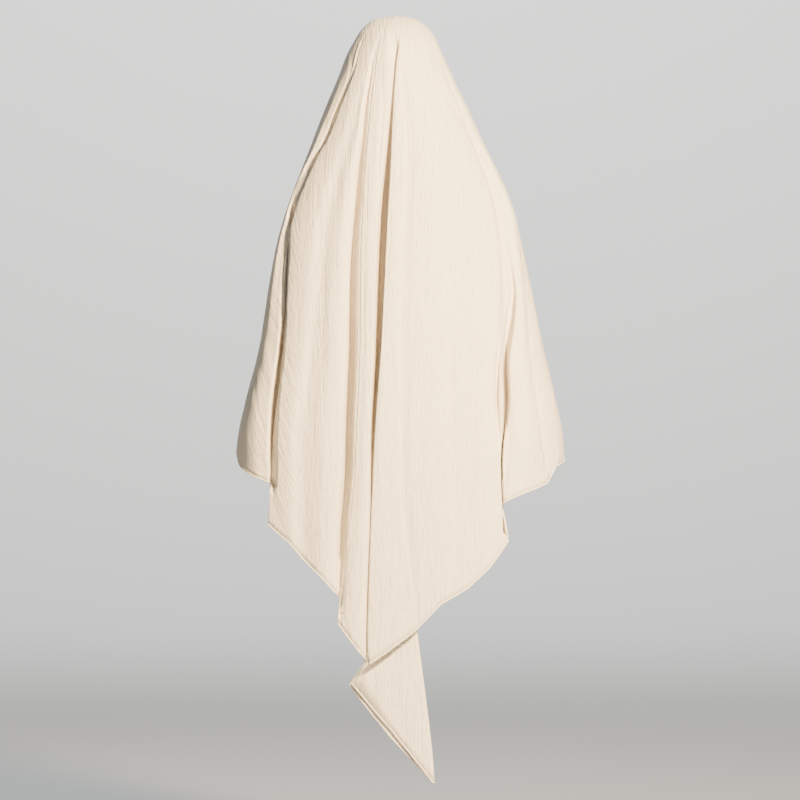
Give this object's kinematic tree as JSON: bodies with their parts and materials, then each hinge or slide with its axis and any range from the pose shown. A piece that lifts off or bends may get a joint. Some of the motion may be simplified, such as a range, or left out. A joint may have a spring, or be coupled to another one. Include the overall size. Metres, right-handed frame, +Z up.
{
  "type": "khimar veil",
  "caption": "Long one-piece veil of crinkled crepe that hangs from the crown over the shoulders to a pointed tail behind, with an open face, a front seam and rolled hems.",
  "frame": {"origin": "on the inside of the cloth at the top of the crown, where the veil sits on the head", "axes": "+Z up, +Y towards the back with the pointed tail, -Y towards the face opening, +X to the wearer's left"},
  "size_m": [0.5983, 0.3948, 1.3911],
  "materials": {
    "crinkled_crepe": "matte",
    "rolled_hem": "matte",
    "seam_cloth": "matte"
  },
  "bodies": {
    "root": {"veil_cloth": "crinkled_crepe", "bottom_hem": "rolled_hem", "face_hem": "rolled_hem", "front_seam": "seam_cloth"}
  },
  "joints": []
}
